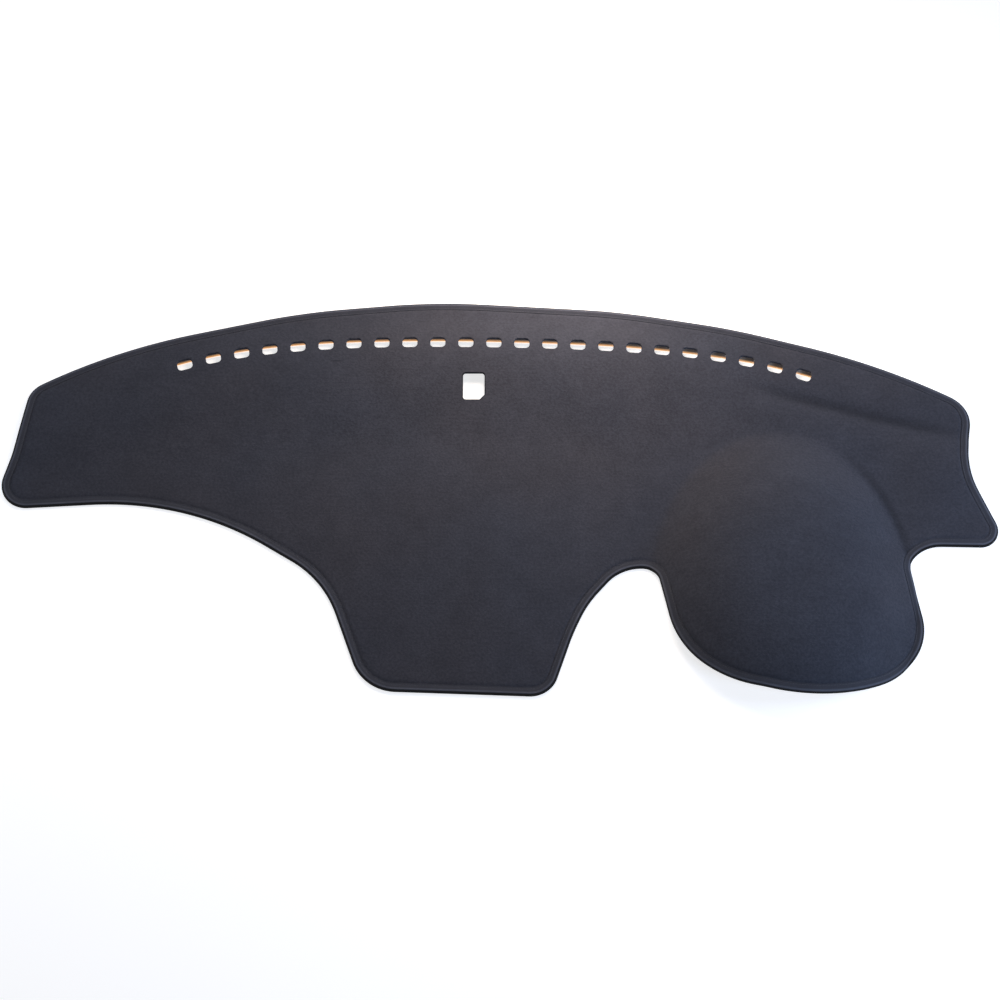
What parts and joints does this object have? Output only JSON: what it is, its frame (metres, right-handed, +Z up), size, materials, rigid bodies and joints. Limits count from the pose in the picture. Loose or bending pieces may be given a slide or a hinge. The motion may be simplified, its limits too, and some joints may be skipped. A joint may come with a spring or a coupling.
{
  "type": "dashboard cover mat",
  "caption": "Moulded felt mat that covers a car dashboard, with a hood over the instruments, a row of vent slots, a sensor window and a taped edge.",
  "frame": {"origin": "the middle of the footprint, on the flat underside", "axes": "+X along the windscreen towards the driver's end with the hood, +Y towards the windscreen, +Z up out of the dashboard"},
  "size_m": [1.4038, 0.6184, 0.06],
  "materials": {
    "felt": "short-pile needled polyester felt, charcoal with a blue cast, matte",
    "tape": "folded woven polyester binding tape, charcoal, low sheen"
  },
  "bodies": {
    "root": {"mat_panel": "felt", "edge_binding": "tape"}
  },
  "joints": []
}
